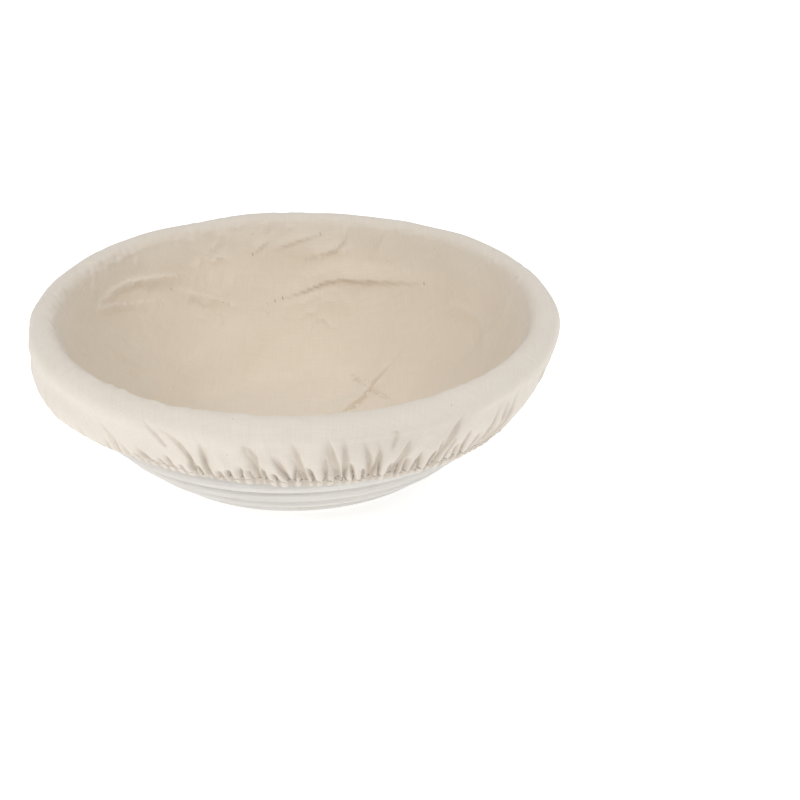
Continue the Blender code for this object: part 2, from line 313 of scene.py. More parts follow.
def rattan_material():
    """Bleached rattan core: long fibre streaks and pores, with the grooves between the turns painted darker
    as painted shade.
    """
    n = Nodes("bleached_rattan")
    cane = n.attribute("cane", "Vector")
    groove = n.attribute("groove", "Fac")
    along = n.add("SeparateXYZ", cane).outputs[0]
    fibre = n.noise(n.scale(cane, (35.0, 2600.0, 2600.0)), 1.0, 3.0, 0.6)
    broad = n.noise(n.scale(cane, (14.0, 420.0, 420.0)), 1.0, 2.0)
    patch = n.noise(n.scale(cane, (18.0, 60.0, 60.0)), 1.0, 2.0)
    tone = n.math("ADD", n.math("MULTIPLY", fibre, 0.5), n.math("MULTIPLY", broad, 0.5))
    colour = n.mix(n.remap(tone, 0.35, 0.65), rgb(0.60, 0.575, 0.54), rgb(0.74, 0.72, 0.69))
    colour = n.mix(n.remap(patch, 0.5, 0.75, 0.0, 0.35), colour, rgb(0.72, 0.685, 0.61))
    pores = n.noise(n.scale(cane, (260.0, 4200.0, 4200.0)), 1.0, 1.0)
    pore = n.remap(pores, 0.66, 0.74, 0.0, 0.5)
    colour = n.mix(pore, colour, rgb(0.50, 0.43, 0.34))
    # painted shade: the grooves where the turns press together are painted darker
    shade = n.remap(groove, 0.80, 1.0, 0.0, 0.42)
    shade = n.math("MULTIPLY", shade, n.remap(broad, 0.3, 0.7, 0.4, 1.0))
    colour = n.mix(shade, colour, rgb(0.56, 0.51, 0.42))
    # short dark brown marks here and there along the grooves
    line = n.noise(n.add("CombineXYZ", n.math("MULTIPLY", along, 120.0), 0.0, 0.0).outputs[0], 1.0, 1.0)
    mark = n.math("MULTIPLY", n.remap(line, 0.66, 0.69), n.remap(groove, 0.93, 0.97))
    colour = n.mix(n.math("MULTIPLY", mark, 0.8), colour, rgb(0.20, 0.125, 0.07))
    n.set(Base_Color=colour, Roughness=n.remap(fibre, 0.3, 0.7, 0.48, 0.68))
    height = n.math("SUBTRACT", tone, n.math("MULTIPLY", pore, 0.8))
    n.set(Normal=n.bump(height, 0.00025, 0.6), Specular_IOR_Level=0.35)
    return n.material


def metal_material():
    """Dull drawn wire with brown rust spots."""
    n = Nodes("brad_wire_steel")
    place = n.add("NewGeometry").outputs["Position"]
    spots = n.noise(place, 900.0, 3.0, 0.6)
    rust = n.remap(spots, 0.45, 0.62)
    n.set(Base_Color=n.mix(rust, rgb(0.42, 0.40, 0.37), rgb(0.17, 0.09, 0.045)))
    n.set(Metallic=n.remap(rust, 0.0, 1.0, 0.9, 0.2), Roughness=n.remap(rust, 0.0, 1.0, 0.38, 0.85))
    n.set(Normal=n.bump(spots, 0.00008, 0.5))
    return n.material


def elastic_material():
    """Braided white elastic: a fine chevron of yarns round the cord."""
    n = Nodes("braided_elastic")
    braid = n.attribute("weave", "Vector")
    split = n.add("SeparateXYZ", braid)
    yarns = []
    for way in ("ADD", "SUBTRACT"):
        slanted = n.math(way, split.outputs[0], split.outputs[1])
        yarns.append(n.math("SINE", n.math("MULTIPLY", slanted, 5200.0)))
    height = n.math("MAXIMUM", *yarns)
    # painted shade: the hollows between the yarns are painted darker
    n.set(Base_Color=n.mix(n.remap(height, -0.2, 1.0), rgb(0.60, 0.58, 0.54), rgb(0.86, 0.85, 0.82)))
    n.set(Roughness=n.remap(height, 0.0, 1.0, 0.85, 0.65), Normal=n.bump(height, 0.00012, 0.8))
    return n.material


def thread_material():
    """Two-ply sewing thread, its twist running slantwise along each stitch."""
    n = Nodes("sewing_thread")
    twist = n.attribute("weave", "Vector")
    split = n.add("SeparateXYZ", twist)
    ply = n.math("SINE", n.math("ADD", n.math("MULTIPLY", split.outputs[0], 9000.0), split.outputs[1]))
    # painted shade: the hollow between the two plies is painted darker
    n.set(Base_Color=n.mix(n.remap(ply, -1.0, 1.0), rgb(0.72, 0.65, 0.55), rgb(0.86, 0.80, 0.71)))
    n.set(Roughness=n.remap(ply, -1.0, 1.0, 0.9, 0.7), Normal=n.bump(ply, 0.00006, 0.8))
    return n.material


# -------------------- canes
CANE_SIDES = 28
CANE_STEP = math.radians(2.0)
SHOWN_RADIUS = 0.00628            # so that turns press together, as on the real basket
UNEVEN = 0.0025                   # how much a cane's thickness varies
LAP_GAP = 0.00012                 # half the room between a lap's two cut faces
LAP_CUT = 1.94                    # how far a lap's cut crosses the cane, in radii
FOOT_FLAT = 0.00002               # the lowest that a cane reaches
NOSE_LENGTH = 0.0045              # the shaved nose in the middle of the floor
SKIVED_END = 0.93                 # turns over which the last wall cane thins out under the rim cane
wobble = Waves(3, 0.075)


def cane_mesh(name, arcs, phis, radii, head=0, tail=0):
    """A cane along the coil; head and tail count the rings over which it is skived for a lap."""
    count = len(arcs)
    centre = shell(arcs, phis)
    tangent = np.gradient(centre, axis=0)
    tangent /= np.linalg.norm(tangent, axis=1)[:, None]
    slope = meridian(arcs)[2]
    outward = np.stack([np.sin(slope) * np.cos(phis), np.sin(slope) * np.sin(phis), -np.cos(slope)], -1)
    outward -= tangent * np.sum(outward * tangent, 1)[:, None]
    outward /= np.linalg.norm(outward, axis=1)[:, None]
    side = np.cross(tangent, outward)
    length = np.concatenate([[0], np.cumsum(np.linalg.norm(np.diff(centre, axis=0), axis=1))])
    size = (radii * (1 + UNEVEN * np.clip(wobble(centre), -2, 1)))[:, None]
    turn = np.arange(CANE_SIDES) * TURN / CANE_SIDES
    out = np.cos(turn) * size
    # a lap's cut face slants from one side of the cane to the other
    if tail:
        cut = SHOWN_RADIUS * (1 - LAP_CUT * np.linspace(0, 1, tail)) - LAP_GAP
        out[-tail:] = np.minimum(out[-tail:], cut[:, None])
    if head:
        cut = SHOWN_RADIUS * (1 - LAP_CUT * np.linspace(0, 1, head)) + LAP_GAP
        out[:head] = np.maximum(out[:head], np.minimum(cut[:, None], size[:head]))
    reach = np.sqrt(np.maximum(size * size - out * out, 0))
    across = np.clip(np.sin(turn) * size, -reach, reach)
    rings = centre[:, None] + outward[:, None] * out[..., None] + side[:, None] * across[..., None]
    rings[..., 2] = np.maximum(rings[..., 2], FOOT_FLAT)
    faces = tube_faces(count, CANE_SIDES).tolist()
    faces.append(list(range(CANE_SIDES))[::-1])
    faces.append(list(range((count - 1) * CANE_SIDES, count * CANE_SIDES)))
    mesh = new_mesh(name, rings.reshape(-1, 3), faces)
    around = np.broadcast_to(turn, (count, CANE_SIDES))
    lines = np.broadcast_to(length[:, None], around.shape)
    grain = np.stack([lines, np.cos(around) * CANE_RADIUS, np.sin(around) * CANE_RADIUS], -1)
    add_vectors(mesh, "cane", grain)
    add_floats(mesh, "groove", np.abs(np.sin(around)))
    return mesh


def coil_run(first, last):
    """Angles along the coil from first to last, about CANE_STEP apart."""
    count = int(round((last - first) / CANE_STEP)) + 1
    return np.linspace(first, last, count)


def build_canes(material):
    lap = int(round(LAP / CANE_STEP)) + 1
    runs = {}
    theta = coil_run(0.25 * TURN, FLOOR_JOINT * TURN)
    arcs, phis = coil_place(theta)
    nose = shell(arcs, phis)
    nose = np.linalg.norm(nose - nose[0], axis=1) / NOSE_LENGTH
    radii = SHOWN_RADIUS * np.sqrt(np.clip(1 - (1 - np.clip(nose, 0, 1)) ** 2, 0.02, 1))
    runs["floor_cane"] = (arcs, phis, radii, 0, lap)
    theta = coil_run(FLOOR_JOINT * TURN - LAP, WALL_JOINT * TURN)
    arcs, phis = coil_place(theta)
    runs["lower_wall_cane"] = (arcs, phis, np.full(len(theta), SHOWN_RADIUS), lap, lap)
    full_until = (RIM_ARC / PITCH - 1) * TURN
    theta = coil_run(WALL_JOINT * TURN - LAP, full_until + TURN * SKIVED_END)
    arcs, phis = coil_place(theta)
    below = coil_place(theta - TURN)[0]
    taper = theta > full_until
    radii = np.where(taper, (RIM_ARC - below) / 2 - CANE_RADIUS - 0.0002, SHOWN_RADIUS)
    arcs = np.where(taper, (RIM_ARC + below) / 2, arcs)
    runs["upper_wall_cane"] = (arcs, phis, np.clip(radii, 0.0003, SHOWN_RADIUS), lap, 0)
    theta = coil_run(RIM_LAP_TURN * TURN, RIM_LAP_TURN * TURN + TURN + LAP)
    runs["rim_cane"] = (np.full(len(theta), RIM_ARC), theta, np.full(len(theta), SHOWN_RADIUS), lap, lap)
    for name, (arcs, phis, radii, head, tail) in runs.items():
        mesh = cane_mesh(name + "_rattan", arcs, np.unwrap(phis), radii, head, tail)
        mesh.materials.append(material)
        new_object(name + "_rattan", mesh, "basket", "rattan", name)


# -------------------- the cloth's base section
LINING_SAMPLES = 900
RIM_SAMPLES = 260
SKIRT_SAMPLES = 300
FACING_WINDOW = 31                # samples over which the facing angle is smoothed
SKIRT_ARC = np.linspace(RIM_ARC, SECTION_END, SKIRT_SAMPLES)[1:]


def base_section():
    """Arc length of the cloth's shown face from the axis, and radius and height there."""
    radius, height, slope = meridian(np.linspace(0, RIM_ARC, LINING_SAMPLES))
    rows = [np.stack([radius - FACE * np.sin(slope), height + FACE * np.cos(slope)], -1)]
    turn = np.linspace(RIM_ANGLE + math.pi / 2, RIM_ANGLE - math.pi / 2, RIM_SAMPLES)[1:]
    rows.append(np.stack([RIM_RADIUS + FACE * np.cos(turn), RIM_HEIGHT + FACE * np.sin(turn)], -1))
    radius, height, slope = meridian(SKIRT_ARC)
    share = np.clip((RIM_ARC - SKIRT_ARC) / (RIM_ARC - HEM_ARC - CASING_HIGH), 0, 1)
    bulge = SKIRT_BULGE * 0.5 * (1 - np.cos(TURN * share ** 0.75))
    out = FACE + SKIRT_STANDS * share * share * (3 - 2 * share) + bulge
    rows.append(np.stack([radius + out * np.sin(slope), height - out * np.cos(slope)], -1))
    rows = np.concatenate(rows)
    length = np.concatenate([[0], np.cumsum(np.hypot(*np.diff(rows, axis=0).T))])
    return length, rows


def section_facing(length, rows):
    """Angle that the section faces, smoothed so that the skirt's bulge leans its normals too."""
    apart = length + np.arange(len(length)) * 1e-12
    along = np.gradient(rows, apart, axis=0)
    facing = np.unwrap(np.arctan2(along[:, 1], along[:, 0])) + math.pi / 2
    kernel = np.hanning(FACING_WINDOW)
    padded = np.pad(facing, FACING_WINDOW // 2, mode="edge")
    return np.convolve(padded, kernel / kernel.sum(), mode="valid")


SECTION_S, SECTION = base_section()
FACING = section_facing(SECTION_S, SECTION)
S_WALL_TOP = float(SECTION_S[LINING_SAMPLES - 1])
S_SIDE = S_WALL_TOP + FACE * (RIM_ANGLE + math.pi / 2)
SKIRT_S = SECTION_S[1 - SKIRT_SAMPLES:]
S_HEM = float(np.interp(-(HEM_ARC + CASING_HIGH), -SKIRT_ARC, SKIRT_S))


def hem_lift(phi):
    """How much closer to the rim than its mean place the hem sits."""
    lift = (HEM_TILT * np.cos(phi - RIDDEN_SIDE) + HEM_MEAN - HEM_LOWEST) / HEM_EASE
    return HEM_LOWEST + HEM_EASE * np.log1p(np.exp(lift))


def hem_arc(phi):
    """Arc length on the wall of the casing's middle."""
    return np.interp(S_HEM - hem_lift(phi), SKIRT_S, SKIRT_ARC) - CASING_HIGH


def skirt_share(s):
    """0 at the rim's side, 1 at the hem."""
    return np.clip((s - S_SIDE) / (S_HEM - S_SIDE), 0, 1.1)


def base_point(s, phi):
    """Point and outward normal of the cloth's base surface."""
    s = s - hem_lift(phi) * skirt_share(s)
    radius = np.interp(s, SECTION_S, SECTION[:, 0])
    height = np.interp(s, SECTION_S, SECTION[:, 1])
    facing = np.interp(s, SECTION_S, FACING)
    cosine, sine = np.cos(phi), np.sin(phi)
    point = np.stack([radius * cosine, radius * sine, height + 0 * phi], -1)
    flat = np.cos(facing)
    normal = np.stack([flat * cosine, flat * sine, np.sin(facing) + 0 * phi], -1)
    return point, normal, radius


# -------------------- folds and gathers
def line_distance(s, phi, radius, line):
    """Along-line share and signed distance from a fold line of (s in mm, phi in degrees) points."""
    pts = [(p[0] / 1000, math.radians(p[1])) for p in line]
    best = np.full(np.broadcast(s, phi).shape, 9.0)
    share = np.zeros_like(best)
    total = len(pts) - 1
    for k in range(total):
        (s0, p0), (s1, p1) = pts[k], pts[k + 1]
        middle = float(np.interp((s0 + s1) / 2, SECTION_S, SECTION[:, 0]))
        scale = np.maximum(radius, 0.004)
        ax, ay = (s - s0), wrap(phi - p0) * scale
        bx, by = (s1 - s0), (p1 - p0) * middle
        size = bx * bx + by * by
        t = np.clip((ax * bx + ay * by) / size, 0, 1)
        dx, dy = ax - bx * t, ay - by * t
        dist = np.hypot(dx, dy)
        sign = np.sign(bx * ay - by * ax)
        closer = dist < np.abs(best)
        best = np.where(closer, dist * np.where(sign == 0, 1, sign), best)
        share = np.where(closer, (k + t) / total, share)
    return share, best


def fold(s, phi, radius, line, height, soft, sharp):
    """A lip of cloth along a line: it rises softly on one side and drops sharply on the other."""
    share, dist = line_distance(s, phi, radius, line)
    fade = np.sin(math.pi * np.clip(share * 0.92 + 0.04, 0, 1)) ** 0.7
    rise = np.where(dist > 0, np.exp(-((dist / soft) ** 2)), np.exp(-((dist / sharp) ** 2)))
    return height * fade * rise


# Folds of the lining: (line of (s mm, phi deg), height mm, soft side mm, sharp side mm)
FOLDS = [
    ([(126, 129), (128.5, 136), (131.5, 144), (132, 151), (129.5, 159)], 2.2, 4.6, 1.4),
    ([(117.5, 139), (120.5, 146), (124.5, 153), (128, 161)], 1.6, 4.0, 1.4),
    ([(106, 116), (112, 123), (118.5, 130)], 1.3, 3.8, 1.5),
    ([(106, 95), (109, 89.5), (113.5, 83.5), (115, 79), (116.5, 69.5), (118, 64), (121, 54)],
     2.5, 8.0, 1.2),
    ([(127, 89), (131.5, 81), (137, 79), (145, 78.3)], 1.5, 3.6, 1.3),
    ([(132, 98), (136, 92), (139.5, 86)], 1.0, 3.0, 1.3),
    ([(131, 69.3), (139, 69), (147, 68.3)], 1.5, 3.6, 1.2),
    ([(140.5, 100), (147, 100)], 0.9, 2.6, 1.2),
    ([(131, 104), (137, 100)], 0.9, 2.6, 1.2),
    ([(16, 20), (23.5, 31.5), (34, 40), (47.5, 47), (60.5, 51), (67, 50.5), (76, 49)],
     3.0, 8.0, 0.85),
    ([(58, 51), (56, 42), (55.5, 33.5), (57.5, 27)], 1.8, 5.0, 0.95),
    ([(62.5, 64), (60.5, 60), (56, 54)], 1.4, 3.6, 1),
    ([(118, 143), (105, 146), (91, 146), (80, 143)], 1.0, 9.0, 4),
    ([(86, 124), (81, 134), (79, 145)], 0.8, 7.0, 3),
    ([(143.5, 138), (136.9, 140)], 0.5, 2.2, 1.5),
    ([(141, 156), (135, 160)], 0.6, 2.5, 1.5),
    ([(97, 100), (99, 84), (95, 66)], 0.5, 9.0, 4),
    ([(120, -150), (127, -138), (128, -122)], 1.1, 5.0, 1.8),
    ([(108, -96), (117, -84), (119, -66)], 1.2, 5.0, 1.6),
    ([(70, -108), (58, -100), (44, -97), (30, -82)], 1.0, 6.0, 1.6),
    ([(126, -40), (123, -26), (127, -8)], 1.3, 5.0, 1.8),
    ([(104, -30), (92, -26), (80, -31)], 0.8, 5.0, 2.4),
    ([(112, 12), (118, 26), (117, 40)], 1.2, 5.0, 1.6),
    ([(140, 18), (128, 15), (116, 18)], 0.8, 3.0, 1.6),
    ([(60, 178), (68, 186), (79, 188)], 0.7, 5.0, 1.8),
    ([(139, -100), (130, -104), (118, -101)], 0.6, 3.0, 1.6),
    ([(88, 205), (98, 214), (102, 226)], 0.7, 5.0, 2),
]

# Long gathers of the skirt: (line of (s mm, phi deg), depth mm, width mm, lopsidedness)
LONG_GATHERS = [
    ([(161, -119), (169.6, -116.5), (177, -114.6)], 1.6, 1.1, 1),
    ([(163.5, -115.4), (173, -111.3), (180.5, -109.6), (192, -108.6)], 2.4, 1.4, 1),
    ([(167, -97.9), (177, -95.6), (197, -95.2)], 2.6, 1.6, 1.8),
    ([(163.5, -88.8), (175, -87.2), (184, -86.3), (197, -85.2)], 2.8, 1.5, 1.6),
    ([(176, -87.2), (197, -87.9)], 2.2, 1.2, 1),
    ([(162.5, -81.2), (174.7, -79.9), (184.5, -78.9), (195, -78.2)], 2.6, 1.5, 2.6),
    ([(167, -73.7), (182, -72.4), (197, -71.3)], 2.4, 1.5, 0.6),
    ([(169, -63.6), (182.2, -64.6), (196, -65.9)], 3.0, 2.2, 1.4),
    ([(160, -69), (167, -66.8), (174, -67.6)], 1.2, 1.6, 1),
    ([(172, -131.5), (180, -128.5), (190, -127.3)], 0.8, 1.2, 1),
    ([(164, -52), (178, -53.5), (196, -54.5)], 2.6, 1.8, 1.7),
    ([(168, -38), (182, -37), (196, -37.5)], 2.2, 1.5, 0.6),
    ([(164, -18), (178, -19.5), (194, -19)], 2.6, 1.6, 1.8),
    ([(166, 6), (180, 8), (196, 8.5)], 2.4, 1.4, 1),
    ([(162, 31), (176, 30), (192, 31)], 2.5, 1.5, 2),
    ([(167, 58), (180, 59.5), (196, 59)], 2.3, 1.4, 1),
    ([(163, 84), (177, 83), (196, 84)], 2.7, 1.6, 0.6),
    ([(165, 112), (179, 113.5), (194, 113)], 2.4, 1.4, 1.7),
    ([(164, 139), (178, 138), (196, 139.5)], 2.5, 1.5, 1),
    ([(172, 163), (184, 164.5), (196, 164)], 1.0, 1.3, 1.8),
    ([(172, 186), (180, 187.5), (194, 187)], 0.7, 1.5, 1),
    ([(170, 208), (181, 207), (196, 208)], 0.8, 1.4, 0.6),
]

SMOOTH_SIDE = math.radians(198)   # where the hem was last pulled straight
SMOOTH_SPREAD = math.radians(47)
CALM_LENGTH = 0.50                # how much shorter and shallower the gathers are there
CALM_DEPTH = 0.75
# Kinds of gather: (they are up to this share of all, least length, greatest length)
GATHER_KINDS = [(0.50, 0.011, 0.019), (0.86, 0.018, 0.028), (1.00, 0.027, 0.035)]
GATHER_PITCH = (0.0031, 0.0058)   # least and greatest spacing of the gathers
GATHER_REACH = 10.0               # a gather's depth is nil this many widths away
LONGEST_GATHER = 0.034
LONG_REACH = 0.22                 # the same for the long gathers, in radians
NARROWEST = 0.110                 # a radius that the skirt is never far inside
VALLEY_SHAPE = 1.45               # between 1, a sharp valley, and 2, a rounded one


def gather_list():
    """Hem gathers all round: direction, slant, length, depth, width and lopsidedness of each valley."""
    rows = []
    phi = 0.0
    rng = np.random.RandomState(11)
    lean = Waves(21, 0.060)
    while phi < TURN:
        at = np.array([[HEM_RADIUS * math.cos(phi), HEM_RADIUS * math.sin(phi), 0.0]])
        kind = rng.uniform()
        shortest, longest = next(lengths for share, *lengths in GATHER_KINDS if kind < share)
        length = rng.uniform(shortest, longest)
        slant = 0.08 * float(lean(at)[0]) + rng.normal() * 0.07
        depth = rng.uniform(0.85, 1.25) * (0.0022 + 0.018 * length)
        width = rng.uniform(0.00052, 0.00075) + 0.005 * length
        lopsided = rng.choice([1.0, 1.0, 1.6, 2.2, 0.6])
        # the cloth lies nearly smooth where the hem was last pulled straight
        calm = math.exp(-(float(wrap(phi - SMOOTH_SIDE)) / SMOOTH_SPREAD) ** 4)
        length *= 1 - CALM_LENGTH * calm
        depth *= 1 - CALM_DEPTH * calm
        rows.append((phi, slant, length, depth, width, lopsided))
        phi += rng.uniform(*GATHER_PITCH) / HEM_RADIUS
    return rows


GATHERS = gather_list()


def valley(dist, width, lopsided):
    """1 on the valley's line, falling to 0 on both sides, slower on one side if lopsided."""
    side = np.where(dist > 0, width * max(lopsided, 1.0), width * max(1.0 / lopsided, 1.0))
    return np.exp(-(np.abs(dist) / side) ** VALLEY_SHAPE)


def gather_height(s, phi, radius):
    """Depth of the gathers below the puffed cloth, zero or less."""
    shape = np.broadcast(s, phi).shape
    s, phi, radius = (np.broadcast_to(value, shape).ravel() for value in (s, phi, radius))
    up = S_HEM - s
    lowest = np.zeros(len(s))
    order = np.argsort(phi % TURN, kind="stable")
    sorted_phi = (phi % TURN)[order]
    for direction, slant, length, depth, width, lopsided in GATHERS:
        # only the points that it can reach, also where that goes past a whole turn
        reach_phi = (abs(slant) * LONGEST_GATHER + GATHER_REACH * width) / NARROWEST
        picked = []
        for turn in (-TURN, 0.0, TURN):
            ends = [direction - reach_phi + turn, direction + reach_phi + turn]
            first, last = np.searchsorted(sorted_phi, ends)
            picked.append(order[first:last])
        at = np.concatenate(picked)
        at = at[up[at] < length]
        share = np.clip(up[at] / length, 0, 1)
        dist = wrap(phi[at] - direction - slant * up[at] / SKIRT_RADIUS) * radius[at]
        near = valley(dist, width * (0.9 + 0.6 * share), lopsided)
        lowest[at] = np.minimum(lowest[at], -depth * smooth(1.9 * (1 - share)) * near)
    for line, depth, width, lopsided in LONG_GATHERS:
        middle = math.radians(line[len(line) // 2][1])
        at = np.nonzero(np.abs(wrap(phi - middle)) < LONG_REACH)[0]
        share, dist = line_distance(s[at], phi[at], radius[at], line)
        near = valley(-dist, width / 1000 * (0.45 + 0.7 * share * (1.4 - share)), lopsided)
        ends = smooth(share / 0.4) ** 0.9 * np.clip((1.04 - share) / 0.06, 0.55, 1)
        lowest[at] = np.minimum(lowest[at], -depth / 1000 * ends * near)
    return lowest.reshape(shape)


RUFFLED_RIM = math.radians(-129)  # where the rim's cloth is most ruffled
RUFFLE_SPREAD = math.radians(15)
CLOTH_CLEAR = 0.00008             # least room between cloth and canes
REST_SOFTNESS = 0.00010           # how gradually the cloth comes to rest on the canes
HEM_RISE = 0.0012                 # how much higher than the canes the tucks end at the hem
WALL_FROM, WALL_OVER = 0.020, 0.040  # where the floor's calm cloth ends, and over what length
RIM_OVER = 0.012                  # lengths over which the rim, the outer side and the hem take over
OUTER_OVER = 0.006
HEM_OVER = 0.0045
UNEVEN_FLOOR = 0.00025            # heights of the cloth's broad unevenness: on the floor, what the
UNEVEN_WALL = 0.00045             # wall adds, and what the rim takes away
UNEVEN_RIM = 0.00040
CRUMPLE = 0.00022                 # heights of its finer unevenness
RIM_RIPPLE = 0.00017
SKIRT_SAG = 0.00035
HEM_PUFF, PUFF_OVER = 0.0010, 0.022  # the skirt stands out between the tucks
HEM_DRAWN, DRAWN_OVER = 0.0004, 0.004  # and is drawn in at the hem
PUFF_LOW = 2.2                    # above 1, the loose part puffs out more in its lower half
undulate = Waves(31, 0.052)
crumple = Waves(32, 0.0135)
crumple_where = Waves(33, 0.050)
ripple = Waves(34, 0.0075)
ripple_where = Waves(35, 0.040)
skirt_sag = Waves(36, 0.026)


def fold_heights(s, phi, radius):
    """Heights of all the lining's folds."""
    total = np.zeros(len(s))
    for line, height, soft, sharp in FOLDS:
        heights = [point[0] / 1000 for point in line]
        turns = [math.radians(point[1]) for point in line]
        reach = 3 * max(soft, sharp) / 1000
        middle, spread = (min(turns) + max(turns)) / 2, (max(turns) - min(turns)) / 2
        near = (s > min(heights) - reach) & (s < max(heights) + reach)
        near &= np.abs(wrap(phi - middle)) < spread + reach / np.maximum(radius, 0.01)
        at = np.nonzero(near)[0]
        if len(at):
            size = height / 1000, soft / 1000, sharp / 1000
            total[at] += fold(s[at], phi[at], radius[at], line, *size)
    return total


def cloth_height(s, phi):
    """How far the cloth stands off its base surface."""
    point, _, radius = base_point(s, phi)
    wall = smooth((s - WALL_FROM) / WALL_OVER)
    rim = smooth((s - (S_WALL_TOP - RIM_OVER)) / RIM_OVER)
    outer = smooth((s - S_SIDE) / OUTER_OVER)
    total = undulate(point) * (UNEVEN_FLOOR + UNEVEN_WALL * wall - UNEVEN_RIM * rim)
    ridges = (1 - np.abs(crumple(point))) * np.clip(crumple_where(point) + 0.2, 0, 1.6)
    total = total + ridges * CRUMPLE * (1 - 0.45 * rim)
    total = total + fold_heights(s, phi, radius)
    on_rim = np.exp(-(((s - (S_WALL_TOP + 0.004)) / 0.006) ** 2))
    ruffled = np.clip(ripple_where(point) + 0.3, 0, 1.6)
    ruffled = ruffled + 2.0 * np.exp(-((wrap(phi - RUFFLED_RIM) / RUFFLE_SPREAD) ** 2))
    total = total + ripple(point) * ruffled * RIM_RIPPLE * on_rim
    floor = np.full(total.shape, SHOWN_RADIUS + THICK + CLOTH_CLEAR - FACE)
    if np.max(s) > S_SIDE - 0.008:
        total = total + skirt_sag(point) * SKIRT_SAG * outer
        loose = np.exp(-((wrap(phi - RIDDEN_SIDE) / LOOSE_SPREAD) ** 2))
        down = np.clip(skirt_share(s), 0, 1)
        total = total + LOOSE_PUFF * loose * np.sin(math.pi * down ** PUFF_LOW)
        up = np.clip(S_HEM - s, 0, 1)
        total = total + HEM_PUFF * smooth(1 - up / PUFF_OVER) * outer
        total = total + gather_height(s, phi, radius)
        total = total - HEM_DRAWN * smooth(1 - up / DRAWN_OVER) * outer
        floor = floor - SKIRT_STANDS * smooth(skirt_share(s - hem_lift(phi) * skirt_share(s)))
        # at the hem it goes no deeper than the casing
        floor = floor + HEM_RISE * smooth(1 - up / HEM_OVER)
    # the cloth rests on the canes and goes no deeper
    over = (total - floor) / REST_SOFTNESS
    return floor + REST_SOFTNESS * np.where(over > 20, over, np.log1p(np.exp(np.minimum(over, 20))))


def cloth_point(s, phi):
    point, normal, _ = base_point(s, phi)
    return point + normal * cloth_height(s, phi)[..., None]


def cloth_surface(s, phi):
    """Points of the cloth's shown face, and normals from differences over a short step."""
    step = 0.0001
    point = cloth_point(s, phi)
    along = cloth_point(s + step, phi) - point
    turn = step / np.maximum(np.interp(s, SECTION_S, SECTION[:, 0]), 0.002)
    round_ = cloth_point(s, phi + turn) - point
    normal = np.cross(round_, along)
    size = np.linalg.norm(normal, axis=-1)[..., None]
    normal = normal / np.maximum(size, 1e-20)
    # towards the shown side
    base = base_point(s, phi)[1]
    flip = np.sign(np.sum(normal * base, -1))[..., None]
    return point, normal * np.where(flip == 0, 1, flip)


def ring_faces(counts, starts):
    """Faces between rings of vertices; a ring has as many vertices as the last, or twice as many."""
    faces = []
    for k in range(len(counts) - 1):
        n, m = counts[k], counts[k + 1]
        a, b = starts[k], starts[k + 1]
        j = np.arange(n)
        after = (j + 1) % n
        if n == m:
            faces.append(np.stack([a + j, b + j, b + after, a + after], -1).tolist())
        else:
            faces.append(np.stack([a + j, b + 2 * j, b + 2 * j + 1], -1).tolist())
            faces.append(np.stack([a + j, b + 2 * j + 1, a + after], -1).tolist())
            faces.append(np.stack([a + after, b + 2 * j + 1, b + (2 * j + 2) % m], -1).tolist())
    return [f for part in faces for f in part]


TUCK_DARKEST_SHADE = 0.0021                # a tuck this deep gets the darkest painted shade


def cloth_side(levels, centre, behind):
    """One face of a cloth: points, normals, faces, and where on the cloth each point is."""
    counts = [count for _, count in levels]
    starts = np.concatenate([[0], np.cumsum(counts)])
    s = np.concatenate([np.full(count, level) for level, count in levels])
    phi = np.concatenate([np.arange(count) * TURN / count for count in counts])
    points, normals = cloth_surface(s, phi)
    faces = ring_faces(counts, starts)
    if centre:
        points = np.concatenate([points, [[0, 0, points[:counts[0], 2].mean()]]])
        normals = np.concatenate([normals, [[0, 0, 1.0]]])
        s = np.append(s, 0.0)
        phi = np.append(phi, 0.0)
        middle = len(points) - 1
        faces += [[middle, k, (k + 1) % counts[0]] for k in range(counts[0])]
    weave = np.stack([s * np.cos(phi), s * np.sin(phi), 0 * s], -1)
    tuck_shade = np.zeros(len(s))
    if s.max() > S_SIDE + 0.001:
        # painted shade: how much darker each point in the tucks is painted
        tuck_shade = np.clip(gather_height(s, phi, np.full(len(s), SKIRT_RADIUS)) / -TUCK_DARKEST_SHADE, 0, 1)
    return points - normals * behind, normals, faces, weave, tuck_shade, starts


def cloth_mesh(name, front_rings, back_rings, centre=False):
    """A closed thin shell: the shown face, a coarser back face THICK behind it, and its raw edges."""
    front, normals, faces, weave, tuck_shade, starts = cloth_side(front_rings, centre, 0.0)
    back, back_normals, back_faces, back_weave, back_tuck_shade, back_starts = cloth_side(back_rings, centre, THICK)
    total = len(front)
    faces += [[v + total for v in face[::-1]] for face in back_faces]
    edges = [(starts[-2], back_starts[-2] + total, front_rings[-1][1], -1)]
    if not centre:
        edges.append((0, total, front_rings[0][1], 1))
    for first, second, count, way in edges:
        for k in range(count):
            n = (k + 1) % count
            faces.append([first + k, first + n, second + n, second + k][::way])
    mesh = new_mesh(name, np.concatenate([front, back]), faces)
    add_vectors(mesh, "weave", np.concatenate([weave, back_weave]))
    add_floats(mesh, "tuck_shade", np.concatenate([tuck_shade, back_tuck_shade]))
    mesh.normals_split_custom_set_from_vertices(np.concatenate([normals, -back_normals]).tolist())
    return mesh


def rings(*spans):
    """Rings of a cloth from (first s, last s, step, count) spans; each span ends before the next starts."""
    result = []
    for first, last, step, count in spans:
        steps = max(1, int(round((last - first) / step)))
        result += [(first + (last - first) * k / steps, count) for k in range(steps)]
    return result


